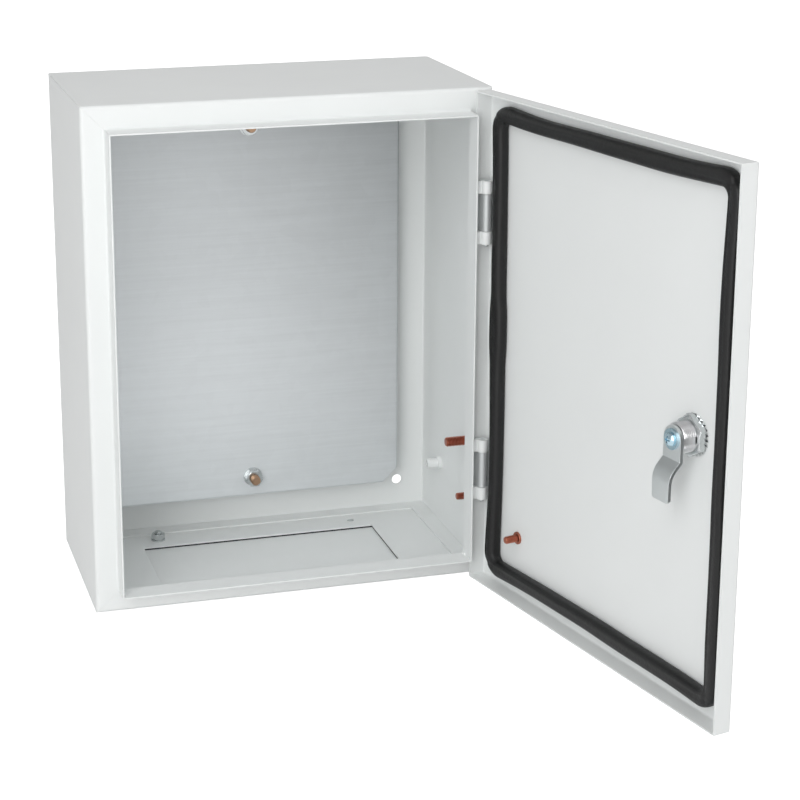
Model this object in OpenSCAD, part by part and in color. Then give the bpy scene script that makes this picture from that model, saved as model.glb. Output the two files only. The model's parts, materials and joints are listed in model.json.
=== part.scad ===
// Steel wall enclosure: a folded cabinet with a hinged door, a quarter-turn cam lock,
// a galvanised mounting plate and a bolted gland plate in the floor.
// Millimetres.  x runs to the right, y to the back, z up.  The origin is the centre of
// the wall-bolt pattern on the rear face, and the front of the cabinet faces -y.

/* [Cabinet] */
// Width over the side walls
cab_w = 320; // [280:5:480]
// Height over the top and the bottom
cab_h = 400; // [340:5:640]
// Depth from the rear face to the front flange
cab_d = 165; // [150:5:260]
// Thickness of the cabinet's sheet
sheet = 1.2; // [1:0.1:1.5]
// Outside radius of the cabinet's bends
bend_r = 3; // [2.5:0.1:3.6]
// Width of the front flange, from the outside to the lip
flange_w = 18; // [17.5:0.1:19]
// How far the sealing lip stands in front of the flange
lip_len = 20; // [18:0.1:20.2]
// Width of the inward flanges that carry the top and the bottom panel
tab_w = 14; // [10:0.5:16]

/* [Wall fixing] */
// Distance between the left and right wall holes
wall_pitch_x = 270; // [220:5:276]
// Distance between the upper and lower wall holes
wall_pitch_z = 350; // [280:5:356]
// Diameter of the wall holes
wall_hole_d = 8.5; // [6:0.1:10]

/* [Mounting plate] */
// Width of the mounting plate
plate_w = 260; // [220:5:270]
// Height of the mounting plate
plate_h = 340; // [280:5:350]
// Thickness of the mounting plate
plate_t = 1.5; // [1.2:0.1:2.5]
// Distance from the rear face to the front of the mounting plate
plate_front = 20; // [16:0.5:30]
// Depth of the returns folded back along the plate's edges
plate_return = 7; // [5:0.5:10]
// Corner cut of the mounting plate, which clears the wall holes
plate_chamfer = 14; // [12:0.5:20]
// Radius that eases the ends of each corner cut
plate_round = 5; // [3:0.5:9]
// Distance from the plate's edge to its fixing stud
plate_stud_in = 17.5; // [14:0.5:30]
// Diameter of the plate's studs
plate_stud_d = 8; // [6:1:8]
// How far the studs stand in front of the nuts
stud_over = 6; // [3:0.5:12]

/* [Earth studs and boss on the right wall] */
// Diameter of the large earth stud
earth_d = 8; // [6:1:10]
// Length of the large earth stud
earth_len = 20; // [12:1:25]
// Diameter of the small earth stud
small_earth_d = 6; // [5:1:8]
// Length of the small earth stud
small_earth_len = 10; // [8:1:20]
// Distance from the front flange to both earth studs
earth_back = 41; // [30:1:60]
// Height of the large stud above the cabinet's bottom
earth_up = 100; // [80:1:140]
// Height of the small stud above the cabinet's bottom
small_earth_up = 51.5; // [40:0.5:70]
// Diameter of the threaded boss
boss_d = 8.5; // [8:0.5:12]
// Diameter of the collar at the boss's foot
boss_collar_d = 11.5; // [10:0.5:16]
// Length of the threaded boss
boss_len = 12; // [8:0.5:18]
// Diameter of the boss's bore before tapping
boss_bore_d = 5; // [4:0.1:6.8]
// Distance from the front flange to the boss
boss_back = 114.5; // [100:0.5:125]
// Height of the boss above the cabinet's bottom
boss_up = 55.5; // [40:0.5:80]

/* [Gland plate] */
// Width of the cable cut-out in the floor
cut_w = 200; // [140:5:220]
// Depth of the cable cut-out in the floor
cut_d = 80; // [50:5:86]
// Distance from the rear face to the middle of the cut-out
cut_back = 82.5; // [80:0.5:84]
// Distance from the cut-out's ends inwards to its screws
screw_in = 15; // [10:1:30]
// Distance from the cut-out's long edge to its screws
screw_off = 15; // [12:0.5:16]
// Overlap of the gland plate beyond its screws
gland_edge = 10; // [8:0.5:11]
// Overlap of the gland plate beyond the cut-out's ends
gland_side = 12; // [10:0.5:16]
// Corner radius of the gland plate and its foam
gland_round = 4; // [1:0.5:8]
// Thickness of the gland plate
gland_t = 1.5; // [1.2:0.1:3]
// Thickness of the foam between the floor and the gland plate
gland_foam = 1.2; // [1:0.1:3]
// Diameter of the gland screws
screw_d = 6; // [4:1:6]

/* [Door] */
// Gap between the cabinet's outside and the door's sides
door_side_gap = 0.5; // [0:0.1:1]
// Gap between the cabinet's outside and the door's top and bottom
door_end_gap = 1; // [0:0.1:2]
// Depth of the door from its face to its rim
door_t = 15; // [14.8:0.1:16]
// Thickness of the door's sheet
door_sheet = 1.2; // [1:0.1:1.5]
// Outside radius of the door's bends
door_bend = 2.5; // [2.2:0.1:3]
// Gap between the front flange and the closed door's rim
rim_gap = 9.5; // [9.4:0.1:11]
// How far the door stands open, in degrees
door_open = 102.5; // [0:0.5:110]
// Distance from the door's hinge side to its earth stud
door_stud_in = 50; // [40:1:70]
// Height of the door's earth stud above the door's bottom
door_stud_up = 48; // [40:1:80]
// Length of the door's earth stud
door_stud_len = 12; // [8:1:15]

/* [Door seal] */
// Width of the foamed seal
seal_w = 14; // [12:0.5:14]
// Height of the foamed seal
seal_h = 7.5; // [6.5:0.1:8]
// Foam left under the groove that the lip presses into it
seal_floor = 3; // [2:0.1:3]
// Radius of the seal's shoulders
seal_round = 3.8; // [2:0.1:4]
// Radius of the seal's corners along its middle
seal_corner = 12; // [10:0.5:20]
// Distance from the door's hinge side to the seal
seal_in_hinge = 14; // [13:0.1:14.5]
// Distance from the door's lock side to the seal
seal_in_lock = 8.5; // [8:0.1:12]
// Distance from the door's top to the seal
seal_in_top = 8.5; // [8:0.1:12]
// Distance from the door's bottom to the seal
seal_in_bottom = 9.5; // [8:0.1:12]

/* [Hinges] */
// Distance from the cabinet's top and bottom to the middle of each hinge
hinge_in = 95; // [60:1:120]
// Distance from the door's side to the pin's axis
axis_in = 8.5; // [8.4:0.1:9]
// Distance from the door's rim to the pin's axis
axis_deep = 5.6; // [5.4:0.1:5.8]
// Diameter of the hinge pins
pin_d = 4; // [3:0.1:4.4]
// Running clearance round the pin
pin_play = 0.05; // [0.02:0.01:0.1]
// Length of the door's barrel
barrel_len = 29.4; // [20:0.1:40]
// Wall of the door's barrel
barrel_wall = 1.4; // [1:0.1:1.4]
// Radius of the cabinet's knuckles
knuckle_r = 4.2; // [3.6:0.1:4.4]
// Length of each of the cabinet's knuckles
knuckle_len = 10; // [6:0.5:14]
// Gap between the barrel and each knuckle
knuckle_gap = 0.3; // [0.2:0.05:0.5]
// How far the pin stands out below its hinge
pin_tip = 2; // [1:0.5:4]

/* [Lock] */
// Distance from the door's lock side to the lock's axis
lock_in = 53; // [50:0.5:56]
// Diameter of the lock's threaded housing
housing_d = 22; // [20:0.5:24]
// Width across the flats of the housing
housing_flat = 20; // [18:0.5:20]
// Diameter of the outside bezel
bezel_d = 30; // [28:0.5:34]
// Thickness of the outside bezel
bezel_t = 3.2; // [2.5:0.1:5]
// Thickness of the seal under the bezel
bezel_seal = 1; // [0.5:0.1:2]
// Diameter of the turning core
core_d = 15; // [13:0.5:16]
// Running clearance round the core
core_play = 0.06; // [0.02:0.01:0.1]
// Width across the flats of the housing nut
nut_af = 27; // [27:1:30]
// Thickness of the housing nut
nut_t = 5; // [3:0.5:6]
// Diameter of the toothed washer
toothed_d = 31; // [30:0.5:34]
// Thickness of the toothed washer
toothed_t = 1.2; // [0.8:0.1:1.6]
// Number of teeth round the washer
teeth = 20; // [12:1:28]
// Height of the cam's seat above the door's inner face
cam_seat = 16.4; // [16:0.1:17]
// Thickness of the cam
cam_t = 2.5; // [2:0.1:3]
// Width of the cam at its pivot
cam_w = 19; // [17:0.5:20]
// Width of the cam at its tip
cam_tip_w = 18; // [14:0.5:18.5]
// Length of the cam from its pivot to its tip
cam_len = 43; // [40:0.5:44]
// Distance from the pivot to the cam's first bend
cam_bend = 15; // [13:0.5:17]
// Outside radius of the cam's long second bend
cam_sweep = 16; // [4:0.5:18]
// Gap between the cam and the flange that it turns behind
cam_clear = 0.4; // [0.3:0.05:0.8]
// How far the lock is turned, in degrees
lock_turn = 0; // [0:1:90]

/* [Hidden] */
$fn = 96;

// Play of a bolt or screw in its hole
play = 0.1;
// Size of a cutting block that has only to reach past its target
past = 6;
// How far a flat runs into the bend beside it, so that the two join
lap = 0.001;

// Cabinet planes: centre lines of the sheet
side_x = cab_w / 2 - sheet / 2;
end_z = cab_h / 2 - sheet / 2;
lip_x = cab_w / 2 - flange_w - sheet / 2;
lip_z = cab_h / 2 - flange_w - sheet / 2;
flange_y = -cab_d + sheet / 2;
lip_y = -cab_d - lip_len;
bend_y = -cab_d + bend_r;
floor_z = -cab_h / 2 + sheet;

// Mounting plate and its stack on the studs
plate_y = -plate_front;
plate_bend = plate_t + 1;
plate_stud_z = plate_h / 2 - plate_stud_in;
washer_t = 1.6;
nut_h = plate_stud_d * 0.8;
plate_nut_y = plate_y - washer_t;
spacer_d = plate_stud_d + 6;

// Gland plate planes
cut_y = -cut_back;
screw_pitch_x = cut_w - 2 * screw_in;
screw_y = cut_d / 2 + screw_off;
gland_w = max(cut_w + 2 * gland_side, screw_pitch_x + 2 * gland_edge);
gland_d = 2 * (screw_y + gland_edge);
foam_z = -cab_h / 2 - gland_foam;
gland_z = foam_z - gland_t;
screw_tip = 0.3;
screw_head_t = screw_d * 0.55;
gland_washer_t = 1.2;
gland_nut_t = screw_d * 0.8;

// Door planes, with the door shut
door_w = cab_w - 2 * door_side_gap;
door_h = cab_h - 2 * door_end_gap;
rim_y = -cab_d - rim_gap;
face_y = rim_y - door_t;
inner_y = face_y + door_sheet;
door_side = door_w / 2 - door_sheet / 2;
door_end = door_h / 2 - door_sheet / 2;
face_mid_y = face_y + door_sheet / 2;

// Hinge axis
axis_x = door_w / 2 - axis_in;
axis_y = rim_y - axis_deep;
hinge_z = cab_h / 2 - hinge_in;
barrel_r = pin_d / 2 + pin_play + barrel_wall;
knuckle_z = barrel_len / 2 + knuckle_gap;
leaf_t = 1.2;

// Seal, laid out on the door's inner face, middle of the bead
seal_x_hinge = door_w / 2 - seal_in_hinge - seal_w / 2;
seal_x_lock = -door_w / 2 + seal_in_lock + seal_w / 2;
seal_z_top = door_h / 2 - seal_in_top - seal_w / 2;
seal_z_bottom = -door_h / 2 + seal_in_bottom + seal_w / 2;
groove_w = sheet + 3;

// Base flange of the door's earth stud
stud_base_d = small_earth_d + 4;
stud_base_t = 1.5;

// Lock
lock_x = -door_w / 2 + lock_in;
cam_lift = sheet + cam_clear + rim_gap + door_t - door_sheet;
cam_ramp = 9;
core_r = core_d / 2;
core_head_r = core_r + 2;
core_head_t = 2;
core_in = 0.3;
core_seat_gap = 0.15;
cam_gap = 0.4;
drive = 8;
cam_screw_d = 5;
cam_washer_t = 1.2;
// Key socket in front of the core, and the tapped hole behind it
socket_r = 6;
socket_deep = 9;
bit_w = 3;
bit_in = 1.5;
tap_deep = 9;
front_z = -door_sheet - bezel_seal - bezel_t;

function unit(v) = v / norm(v);
function left_of(d) = [-d[1], d[0]];
function heading(p, i) = unit(p[i + 1] - p[i]);
function side_of(a, b) = sign(a[0] * b[1] - a[1] * b[0]);
function turn_between(a, b) = acos(min(1, max(-1, a * b)));
// Radius of bend i: r is one radius for every bend, or a list with one for each point
function radius_at(r, i) = is_list(r) ? r[i] : r;
// Length of straight that a bend takes from each side of its corner
function bend_trim(p, i, r, t) =
    i == 0 || i == len(p) - 1 ? 0
    : (radius_at(r, i) - t / 2) * tan(turn_between(heading(p, i - 1), heading(p, i)) / 2);

// Section of a sheet of thickness t folded along the points p, with outside radius r
module folded(p, t, r) {
    for (i = [0 : len(p) - 2]) {
        d = heading(p, i);
        n = left_of(d) * t / 2;
        a = p[i] + d * (bend_trim(p, i, r, t) - (i > 0 ? lap : 0));
        b = p[i + 1] - d * (bend_trim(p, i + 1, r, t) - (i < len(p) - 2 ? lap : 0));
        polygon([a + n, a - n, b - n, b + n]);
    }
    for (i = [1 : len(p) - 2]) {
        mid = radius_at(r, i) - t / 2;
        din = heading(p, i - 1);
        dout = heading(p, i);
        trim = bend_trim(p, i, r, t);
        c = p[i] - din * trim + left_of(din) * side_of(din, dout) * mid;
        a = p[i] - din * trim - c;
        b = p[i] + dout * trim - c;
        reach = (mid + t) / mid;
        intersection() {
            translate(c) difference() {
                circle(mid + t / 2);
                circle(mid - t / 2);
            }
            polygon([c, c + a * reach, c + (p[i] - c) * reach, c + b * reach]);
        }
    }
}

// Convex outline through the points p, taken anticlockwise, with its corners rounded
module rounded_outline(p, r) {
    n = len(p);
    din = [for (i = [0 : n - 1]) unit(p[i] - p[(i + n - 1) % n])];
    trim = [for (i = [0 : n - 1]) r * tan(turn_between(din[i], din[(i + 1) % n]) / 2)];
    polygon([for (i = [0 : n - 1], before = [true, false])
        before ? p[i] - din[i] * trim[i] : p[i] + din[(i + 1) % n] * trim[i]]);
    for (i = [0 : n - 1])
        translate(p[i] - din[i] * trim[i] + left_of(din[i]) * r) circle(r);
}

// Prism with an outline in x and z, from y_hi towards the front
module along_y(y_hi, depth) {
    translate([0, y_hi, 0]) rotate([90, 0, 0]) linear_extrude(depth) children();
}

// Prism with an outline in y and z, centred on x = 0
module along_x(length) {
    rotate([90, 0, 90]) linear_extrude(length, center = true) children();
}

// Picture-frame mitre: the top piece's share of a frame of size w by h
module mitre_top(w, h, band) {
    polygon([[-(w / 2 - band), h / 2 - band], [w / 2 - band, h / 2 - band],
             [w / 2 + past, h / 2 + past], [-(w / 2 + past), h / 2 + past]]);
}

module mitre_both(w, h, band) {
    mitre_top(w, h, band);
    mirror([0, 1]) mitre_top(w, h, band);
}

// Rectangle whose two rear corners are rounded
module rear_rounded(w, y_lo, y_hi, r) {
    translate([-w / 2, y_lo]) square([w, y_hi - y_lo - r]);
    translate([-w / 2 + r, y_lo]) square([w - 2 * r, y_hi - y_lo]);
    for (s = [-1, 1]) translate([s * (w / 2 - r), y_hi - r]) circle(r);
}

module ring(r_out, r_in, h) {
    difference() {
        cylinder(h = h, r = r_out);
        translate([0, 0, -1]) cylinder(h = h + 2, r = r_in);
    }
}

// Hexagon prism with both ends chamfered, from z = 0
module hexagon(af, h) {
    corner_r = af / 2 / cos(30);
    lead = (corner_r - af / 2) * 0.6;
    intersection() {
        cylinder(h = h, r = corner_r, $fn = 6);
        rotate_extrude() polygon([[0, 0], [af / 2, 0], [corner_r, lead],
                                  [corner_r, h - lead], [af / 2, h], [0, h]]);
    }
}

module hex_nut(af, h, bore_r) {
    difference() {
        hexagon(af, h);
        translate([0, 0, -1]) cylinder(h = h + 2, r = bore_r);
    }
}

// Stud along z with a chamfered end, from z = 0
module stud(d, length) {
    lead = d * 0.12;
    cylinder(h = length - lead, d = d);
    translate([0, 0, length - lead]) rotate_extrude()
        polygon([[0, 0], [d / 2, 0], [d / 2 - lead, lead], [0, lead]]);
}

// ---- cabinet ----

module wrap_section() {
    folded([[lip_x, lip_y], [lip_x, flange_y], [side_x, flange_y], [side_x, -sheet / 2],
            [-side_x, -sheet / 2], [-side_x, flange_y], [-lip_x, flange_y], [-lip_x, lip_y]],
           sheet, bend_r);
}

// Inward flange of the sides and the back, against which an end panel is welded
module tab_outline() {
    inner = cab_w - 2 * sheet;
    difference() {
        rear_rounded(inner, bend_y, -sheet, bend_r - sheet);
        translate([-inner / 2 + tab_w, bend_y - 1]) square([inner - 2 * tab_w, -sheet - tab_w - bend_y + 1]);
    }
}

module body_wrap() {
    color([0.93, 0.94, 0.94]) difference() {
        union() {
            linear_extrude(cab_h, center = true) wrap_section();
            for (s = [-1, 1]) translate([0, 0, s * (end_z - sheet)])
                linear_extrude(sheet, center = true) tab_outline();
        }
        along_y(bend_y, bend_r + lip_len + past) mitre_both(cab_w, cab_h, flange_w + past);
        for (s = [-1, 1]) translate([-cab_w / 2 - 1, bend_y, s * end_z - sheet / 2])
            cube([cab_w + 2, cab_d + 1, sheet]);
        for (x = [-1, 1], z = [-1, 1])
            translate([x * wall_pitch_x / 2, 1, z * wall_pitch_z / 2])
                rotate([90, 0, 0]) cylinder(h = sheet + 2, d = wall_hole_d);
    }
}

// End panel with its share of the front flange and the lip, drawn as the top one
module end_panel() {
    intersection() {
        along_x(cab_w) folded([[lip_y, lip_z], [flange_y, lip_z], [flange_y, end_z], [0, end_z]],
                              sheet, bend_r);
        union() {
            along_y(bend_y + sheet, sheet + bend_r + lip_len + past)
                mitre_top(cab_w, cab_h, flange_w + past);
            translate([0, 0, end_z - sheet]) linear_extrude(2 * sheet)
                rear_rounded(cab_w, bend_y, 0, bend_r);
        }
    }
}

module top_panel() {
    color([0.93, 0.94, 0.94]) end_panel();
}

module at_gland_screws() {
    for (x = [-1, 1], y = [-1, 1])
        translate([x * screw_pitch_x / 2, cut_y + y * screw_y, 0]) children();
}

module bottom_panel() {
    color([0.93, 0.94, 0.94]) difference() {
        mirror([0, 0, 1]) end_panel();
        translate([-cut_w / 2, cut_y - cut_d / 2, -cab_h / 2 - 1]) cube([cut_w, cut_d, sheet + 2]);
        at_gland_screws() translate([0, 0, -cab_h / 2 - 1])
            cylinder(h = sheet + 2, d = screw_d + 2 * play);
    }
}

// ---- mounting plate ----

module plate_outline() {
    c = plate_chamfer;
    w = plate_w / 2;
    h = plate_h / 2;
    rounded_outline([[w - c, -h], [w, -h + c], [w, h - c], [w - c, h],
                     [-w + c, h], [-w, h - c], [-w, -h + c], [-w + c, -h]], plate_round);
}

// Section of the plate over one of its two spans, with a return at each edge
module plate_section(half) {
    mid = plate_y + plate_t / 2;
    edge = half - plate_t / 2;
    folded([[-edge, plate_y + plate_return], [-edge, mid], [edge, mid], [edge, plate_y + plate_return]],
           plate_t, plate_bend);
}

module mounting_plate() {
    color([0.72, 0.74, 0.76]) difference() {
        intersection() {
            union() {
                linear_extrude(plate_h - 2 * plate_bend, center = true) plate_section(plate_w / 2);
                rotate([0, 90, 0]) linear_extrude(plate_w - 2 * plate_bend, center = true)
                    plate_section(plate_h / 2);
            }
            along_y(0, cab_d) plate_outline();
        }
        at_plate_studs() translate([0, 0, -past])
            cylinder(h = plate_front + 2 * past, d = plate_stud_d + 2 * play);
    }
}

// Places children with their z axis pointing to the front, from the rear wall's inside
module at_plate_studs() {
    for (s = [-1, 1]) translate([0, -sheet, s * plate_stud_z]) rotate([90, 0, 0]) children();
}

module plate_studs() {
    color([0.72, 0.42, 0.3]) at_plate_studs()
        stud(plate_stud_d, plate_front - sheet + washer_t + nut_h + stud_over);
}

module plate_spacers() {
    color([0.78, 0.8, 0.82]) at_plate_studs()
        ring(spacer_d / 2, plate_stud_d / 2 + play, plate_front - plate_t - sheet);
}

module plate_washers() {
    color([0.78, 0.8, 0.82]) at_plate_studs() translate([0, 0, plate_front - sheet])
        ring(plate_stud_d, plate_stud_d / 2 + play, washer_t);
}

module plate_nuts() {
    color([0.78, 0.8, 0.82]) at_plate_studs() translate([0, 0, plate_front - sheet + washer_t])
        hex_nut(plate_stud_d * 1.625, nut_h, plate_stud_d / 2 + play);
}

// ---- studs and boss on the right wall ----

// Places children with their z axis pointing to the left from the right wall's inside
module on_right_wall(back, up) {
    translate([cab_w / 2 - sheet, -cab_d + back, -cab_h / 2 + up]) rotate([0, -90, 0]) children();
}

module earth_stud_large() {
    color([0.72, 0.42, 0.3]) on_right_wall(earth_back, earth_up) stud(earth_d, earth_len);
}

module earth_stud_small() {
    color([0.72, 0.42, 0.3]) on_right_wall(earth_back, small_earth_up)
        stud(small_earth_d, small_earth_len);
}

module threaded_boss() {
    collar_t = 3;
    color([0.93, 0.94, 0.94]) on_right_wall(boss_back, boss_up) difference() {
        union() {
            stud(boss_d, boss_len);
            cylinder(h = collar_t, d = boss_collar_d);
        }
        translate([0, 0, 2]) cylinder(h = boss_len, d = boss_bore_d);
    }
}

// ---- gland plate ----

module gland_outline() {
    w = gland_w / 2;
    d = gland_d / 2;
    translate([0, cut_y]) rounded_outline([[w, -d], [w, d], [-w, d], [-w, -d]], gland_round);
}

module gland_plate() {
    color([0.93, 0.94, 0.94]) difference() {
        translate([0, 0, gland_z]) linear_extrude(gland_t) gland_outline();
        at_gland_screws() translate([0, 0, gland_z - 1]) cylinder(h = gland_t + 2, d = screw_d + 2 * play);
    }
}

module gland_gasket() {
    color([0.15, 0.15, 0.15]) difference() {
        translate([0, 0, foam_z]) linear_extrude(gland_foam) gland_outline();
        translate([-cut_w / 2, cut_y - cut_d / 2, foam_z - 1]) cube([cut_w, cut_d, gland_foam + 2]);
        at_gland_screws() translate([0, 0, foam_z - 1])
            cylinder(h = gland_foam + 2, d = screw_d + 2 * play);
    }
}

// The rear left screw is longer, because it also takes the floor's earth nut
module gland_screws() {
    short = sheet + gland_foam + gland_t + screw_tip;
    extra = gland_washer_t + gland_nut_t - screw_tip + 2;
    color([0.78, 0.8, 0.82]) for (x = [-1, 1], y = [-1, 1])
        translate([x * screw_pitch_x / 2, cut_y + y * screw_y, gland_z]) {
            stud(screw_d, short + (x < 0 && y > 0 ? extra : 0));
            mirror([0, 0, 1]) hexagon(screw_d * 5 / 3, screw_head_t);
        }
}

module at_earth_nut() {
    translate([-screw_pitch_x / 2, cut_y + screw_y, floor_z]) children();
}

module gland_washer() {
    color([0.78, 0.8, 0.82]) at_earth_nut() ring(screw_d, screw_d / 2 + play, gland_washer_t);
}

module gland_nut() {
    color([0.78, 0.8, 0.82]) at_earth_nut() translate([0, 0, gland_washer_t])
        hex_nut(screw_d * 5 / 3, gland_nut_t, screw_d / 2 + play);
}

// ---- hinges ----

// Knuckle with the foot that joins it to the lip's outer side
module knuckle_section() {
    foot_x = cab_w / 2 - flange_w;
    difference() {
        union() {
            translate([axis_x, axis_y]) circle(knuckle_r);
            translate([foot_x, axis_y]) square([axis_x - foot_x, knuckle_r]);
        }
        translate([axis_x, axis_y]) circle(d = pin_d);
    }
}

module knuckles(mid_z) {
    color([0.93, 0.94, 0.94]) for (z = [mid_z + knuckle_z, mid_z - knuckle_z - knuckle_len])
        translate([0, 0, z]) linear_extrude(knuckle_len) knuckle_section();
}

module hinge_knuckles_upper() {
    knuckles(hinge_z);
}

module hinge_knuckles_lower() {
    knuckles(-hinge_z);
}

module pin(mid_z) {
    top = mid_z + knuckle_z + knuckle_len;
    color([0.8, 0.82, 0.84]) translate([axis_x, axis_y, top]) rotate([180, 0, 0])
        stud(pin_d, 2 * (knuckle_z + knuckle_len) + pin_tip);
}

module hinge_pin_upper() {
    pin(hinge_z);
}

module hinge_pin_lower() {
    pin(-hinge_z);
}

// Rolled barrel, its tangent web and the leaf welded inside the door's edge
module leaf_section() {
    leaf_x = door_w / 2 - door_sheet;
    difference() {
        union() {
            translate([axis_x, axis_y]) circle(barrel_r);
            translate([axis_x, axis_y + barrel_r - leaf_t]) square([leaf_x - axis_x, leaf_t]);
            translate([leaf_x - leaf_t, inner_y + 1]) square([leaf_t, axis_y + barrel_r - inner_y - 1]);
        }
        translate([axis_x, axis_y]) circle(pin_d / 2 + pin_play);
    }
}

module leaf(mid_z) {
    color([0.8, 0.82, 0.84]) on_door() translate([0, 0, mid_z])
        linear_extrude(barrel_len, center = true) leaf_section();
}

module hinge_leaf_upper() {
    leaf(hinge_z);
}

module hinge_leaf_lower() {
    leaf(-hinge_z);
}

// ---- door ----

// Turns what is drawn on the shut door about the hinge axis
module on_door() {
    translate([axis_x, axis_y, 0]) rotate([0, 0, door_open]) translate([-axis_x, -axis_y, 0]) children();
}

// Local frame on the door's inner face: z points into the cabinet, y points down
module on_inner_face(x = 0, up = 0) {
    on_door() translate([x, inner_y, up]) rotate([-90, 0, 0]) children();
}

module pan_section(half) {
    folded([[-half, rim_y], [-half, face_mid_y], [half, face_mid_y], [half, rim_y]],
           door_sheet, door_bend);
}

module door_pan() {
    color([0.93, 0.94, 0.94]) on_door() difference() {
        union() {
            difference() {
                linear_extrude(door_h, center = true) pan_section(door_side);
                along_y(rim_y + 1, door_t + 2) mitre_both(door_w, door_h, door_t + past);
            }
            intersection() {
                rotate([0, 90, 0]) linear_extrude(door_w, center = true) pan_section(door_end);
                along_y(rim_y + 1, door_t + 2) mitre_both(door_w, door_h, door_t + past);
            }
        }
        along_y(rim_y, door_t + 1) translate([lock_x, 0]) housing_outline(play);
    }
}

module seal_section() {
    crown_w = seal_w - 2 * seal_round;
    intersection() {
        translate([-seal_w / 2, 0]) square([seal_w, seal_h]);
        union() {
            translate([-seal_w / 2, 0]) square([seal_w, seal_h - seal_round]);
            translate([-crown_w / 2, 0]) square([crown_w, seal_h]);
            for (s = [-1, 1]) translate([s * crown_w / 2, seal_h - seal_round]) circle(seal_round);
        }
    }
}

module seal_run_x(x_lo, x_hi, y) {
    translate([x_lo, y, 0]) rotate([90, 0, 90]) linear_extrude(x_hi - x_lo) seal_section();
}

module seal_run_y(x, y_lo, y_hi) {
    translate([x, y_hi, 0]) rotate([90, 0, 0]) linear_extrude(y_hi - y_lo) seal_section();
}

module seal_bend(x, y, start) {
    translate([x, y, 0]) rotate([0, 0, start]) rotate_extrude(angle = 90)
        translate([seal_corner, 0]) seal_section();
}

// Foamed bead with the groove that the cabinet's lip has pressed into it
module door_gasket() {
    r = seal_corner;
    x0 = seal_x_lock;
    x1 = seal_x_hinge;
    y0 = -seal_z_top;
    y1 = -seal_z_bottom;
    color([0.16, 0.16, 0.17]) on_inner_face() difference() {
        union() {
            seal_run_x(x0 + r, x1 - r, y0);
            seal_run_x(x0 + r, x1 - r, y1);
            seal_run_y(x0, y0 + r, y1 - r);
            seal_run_y(x1, y0 + r, y1 - r);
            seal_bend(x1 - r, y1 - r, 0);
            seal_bend(x0 + r, y1 - r, 90);
            seal_bend(x0 + r, y0 + r, 180);
            seal_bend(x1 - r, y0 + r, 270);
        }
        translate([0, 0, seal_floor]) linear_extrude(seal_h) difference() {
            square([2 * lip_x + groove_w, 2 * lip_z + groove_w], center = true);
            square([2 * lip_x - groove_w, 2 * lip_z - groove_w], center = true);
        }
    }
}

module door_earth_stud() {
    color([0.72, 0.42, 0.3])
        on_inner_face(door_w / 2 - door_stud_in, -door_h / 2 + door_stud_up) {
            cylinder(h = stud_base_t, d = stud_base_d);
            stud(small_earth_d, door_stud_len);
        }
}

// ---- lock ----

// Round thread with two flats that keep the lock from turning in the door
module housing_outline(grow = 0) {
    intersection() {
        circle(housing_d / 2 + grow);
        square([housing_flat + 2 * grow, 2 * housing_d], center = true);
    }
}

module on_lock() {
    on_inner_face(lock_x, 0) children();
}

module on_core() {
    on_lock() rotate([0, 0, lock_turn]) children();
}

module lock_housing() {
    edge = 1;
    color([0.8, 0.82, 0.84]) on_lock() difference() {
        union() {
            rotate_extrude() polygon([[0, front_z], [bezel_d / 2 - edge, front_z],
                                      [bezel_d / 2, front_z + edge], [bezel_d / 2, -door_sheet - bezel_seal],
                                      [0, -door_sheet - bezel_seal]]);
            translate([0, 0, front_z + 1]) linear_extrude(cam_seat - cam_gap - front_z - 1) housing_outline();
        }
        translate([0, 0, front_z - 1]) cylinder(h = 2 * cam_seat, r = core_r + core_play);
        translate([0, 0, front_z - 1]) cylinder(h = 1 + core_head_t, r = core_head_r + core_play);
    }
}

module lock_seal() {
    color([0.12, 0.12, 0.12]) on_lock() translate([0, 0, -door_sheet - bezel_seal])
        ring(bezel_d / 2 - 1, housing_d / 2 + play, bezel_seal);
}

module lock_toothed_washer() {
    notch = 1.6;
    color([0.8, 0.82, 0.84]) on_lock() difference() {
        ring(toothed_d / 2, housing_d / 2 + play, toothed_t);
        for (i = [0 : teeth - 1]) rotate([0, 0, i * 360 / teeth])
            translate([toothed_d / 2, 0, 0]) rotate([0, 0, 25])
                cube([2 * notch, notch, 2 * toothed_t + 2], center = true);
    }
}

module lock_nut() {
    color([0.8, 0.82, 0.84]) on_lock() translate([0, 0, toothed_t]) rotate([0, 0, 30])
        hex_nut(nut_af, nut_t, housing_d / 2 + play);
}

// Core with the double-bit insert in front and the square drive behind
module lock_core() {
    bit_z = front_z + bit_in;
    head_t = core_head_t - core_in - core_seat_gap;
    color([0.74, 0.76, 0.78]) on_core() difference() {
        union() {
            translate([0, 0, front_z + core_in]) {
                cylinder(h = head_t, r = core_head_r);
                cylinder(h = cam_seat - front_z - core_in, r = core_r);
            }
            translate([-drive / 2, -drive / 2, 0]) cube([drive, drive, cam_seat + cam_t]);
        }
        difference() {
            translate([0, 0, front_z - 1]) cylinder(h = socket_deep + 1, r = socket_r);
            translate([0, 0, bit_z]) cylinder(h = socket_deep, r = bit_w / 2 + 1);
            translate([-socket_r + 1, -bit_w / 2, bit_z]) cube([2 * socket_r - 2, bit_w, socket_deep]);
        }
        translate([0, 0, cam_seat + cam_t - tap_deep])
            cylinder(h = tap_deep + 1, d = cam_screw_d + 2 * play);
    }
}

// Side view of the cam: flat at the pivot, stepped away from the door, flat behind the flange
module cam_profile() {
    low = cam_seat + cam_t / 2;
    high = cam_lift + cam_t / 2;
    folded([[-cam_w, low], [cam_bend, low], [cam_bend + cam_ramp, high], [cam_len + 1, high]],
           cam_t, [0, cam_t + 0.4, cam_sweep, 0]);
}

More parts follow.
